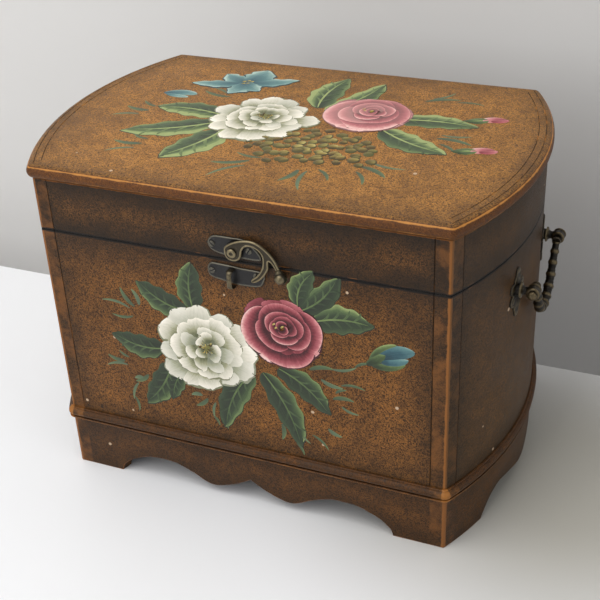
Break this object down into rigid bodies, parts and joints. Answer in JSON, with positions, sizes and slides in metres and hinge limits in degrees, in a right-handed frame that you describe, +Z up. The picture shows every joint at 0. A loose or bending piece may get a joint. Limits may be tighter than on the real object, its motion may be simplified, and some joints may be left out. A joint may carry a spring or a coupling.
{
  "type": "keepsake box",
  "caption": "Painted wooden keepsake box with bowed ends, hinged lid, swing hook latch, scalloped base and drop handles.",
  "frame": {"origin": "on the floor under the middle of the box", "axes": "+Z up, -Y towards the front with the latch, +X to the right seen from the front"},
  "size_m": [0.3692, 0.2331, 0.25],
  "materials": {
    "crackled_board": "brown crackle paint over wood, worn at the edges",
    "lid_top_paint": "tan crackle paint over wood",
    "end_paint": "dull brown crackle paint over wood",
    "moulding_paint": "worn orange-brown paint",
    "skirt_paint": "brown crackle paint over wood",
    "bottom_wood": "dark stained wood",
    "dark_plate": "dark antique bronze plating",
    "antique_brass": "antique brass, bright on the ridges",
    "antique_bronze": "dark antique bronze casting",
    "hinge_brass": "dulled brass"
  },
  "bodies": {
    "case": {"front_board": "crackled_board", "back_board": "crackled_board", "right_end_board": "end_paint", "left_end_board": "end_paint", "bottom_board": "bottom_wood", "front_moulding": "moulding_paint", "back_moulding": "moulding_paint", "right_moulding": "moulding_paint", "left_moulding": "moulding_paint", "front_skirt": "skirt_paint", "back_skirt": "skirt_paint", "right_skirt": "skirt_paint", "left_skirt": "skirt_paint", "keeper_plate": "dark_plate", "keeper_staple": "antique_brass", "keeper_screws": "antique_brass", "right_front_rosette": "antique_bronze", "right_rear_rosette": "antique_bronze", "left_front_rosette": "antique_bronze", "left_rear_rosette": "antique_bronze", "right_front_post": "antique_bronze", "right_rear_post": "antique_bronze", "left_front_post": "antique_bronze", "left_rear_post": "antique_bronze", "right_hinge_case_leaf": "hinge_brass", "left_hinge_case_leaf": "hinge_brass", "right_hinge_pin": "hinge_brass", "left_hinge_pin": "hinge_brass", "hinge_case_screws": "hinge_brass"},
    "lid": {"lid_panel": "lid_top_paint", "lid_front_rail": "crackled_board", "lid_back_rail": "crackled_board", "lid_right_rail": "end_paint", "lid_left_rail": "end_paint", "hook_plate": "dark_plate", "hook_plate_screws": "antique_brass", "hook_rivet": "antique_brass", "right_hinge_lid_leaf": "hinge_brass", "left_hinge_lid_leaf": "hinge_brass", "hinge_lid_screws": "hinge_brass"},
    "hook": {"latch_hook": "antique_brass"},
    "right_handle": {"right_bail": "antique_bronze"},
    "left_handle": {"left_bail": "antique_bronze"}
  },
  "joints": [
    {"name": "lid_hinge", "type": "hinge", "parent": "case", "child": "lid", "pos_m": [0, 0.1126, 0.202], "axis": [-1, 0, 0], "range_deg": [0, 100]},
    {"name": "hook_pivot", "type": "hinge", "parent": "lid", "child": "hook", "pos_m": [0.0019, -0.1133, 0.2095], "axis": [0, -1, 0], "range_deg": [-50, 65]},
    {"name": "right_handle_swing", "type": "hinge", "parent": "case", "child": "right_handle", "pos_m": [0.18, 0, 0.172], "axis": [0, -1, 0], "range_deg": [-7, 180]},
    {"name": "left_handle_swing", "type": "hinge", "parent": "case", "child": "left_handle", "pos_m": [-0.18, 0, 0.172], "axis": [0, 1, 0], "range_deg": [-7, 180]}
  ]
}
